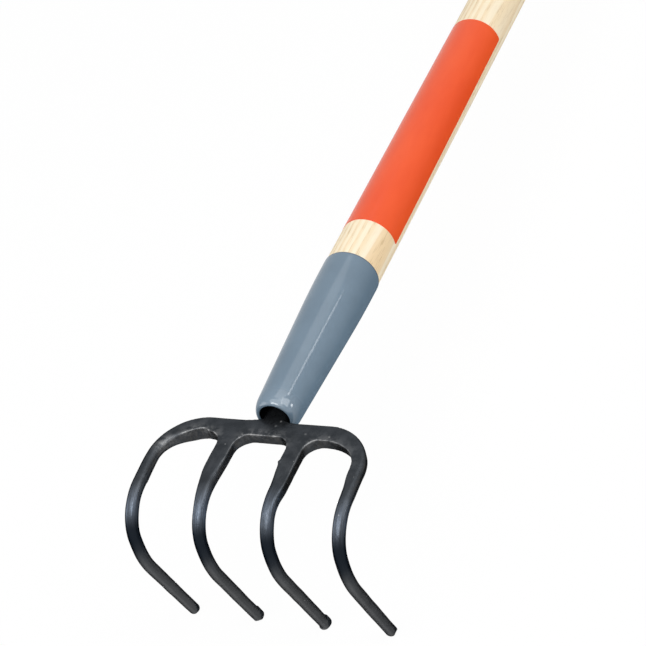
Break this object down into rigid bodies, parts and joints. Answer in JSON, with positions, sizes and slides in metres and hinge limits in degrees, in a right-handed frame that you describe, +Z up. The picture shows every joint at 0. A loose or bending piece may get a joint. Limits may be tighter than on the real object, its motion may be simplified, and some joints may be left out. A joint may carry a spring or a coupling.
{
  "type": "long handled garden cultivator",
  "caption": "Long handled garden cultivator: forged head with hooked round tines on a tang, tapered painted ferrule, round wooden handle and a plain film label.",
  "frame": {"origin": "on the floor under the middle of the tool's length, where it rests on its points and the butt of its handle", "axes": "+X along the handle from the head to the butt, +Z up with the tines hooking down, +Y across the tines"},
  "size_m": [1.4568, 0.1114, 0.1021],
  "materials": {
    "forged_head": "black forging coat, satin, with worn trim edges",
    "ferrule_enamel": "glossy slate grey enamel",
    "handle_wood": "pale ash under clear lacquer",
    "label_film": "plain orange red film, semi gloss",
    "brad_steel": "plain steel"
  },
  "bodies": {
    "root": {"forged_head": "forged_head", "ferrule": "ferrule_enamel", "handle": "handle_wood", "label": "label_film", "ferrule_brad": "brad_steel"}
  },
  "joints": []
}
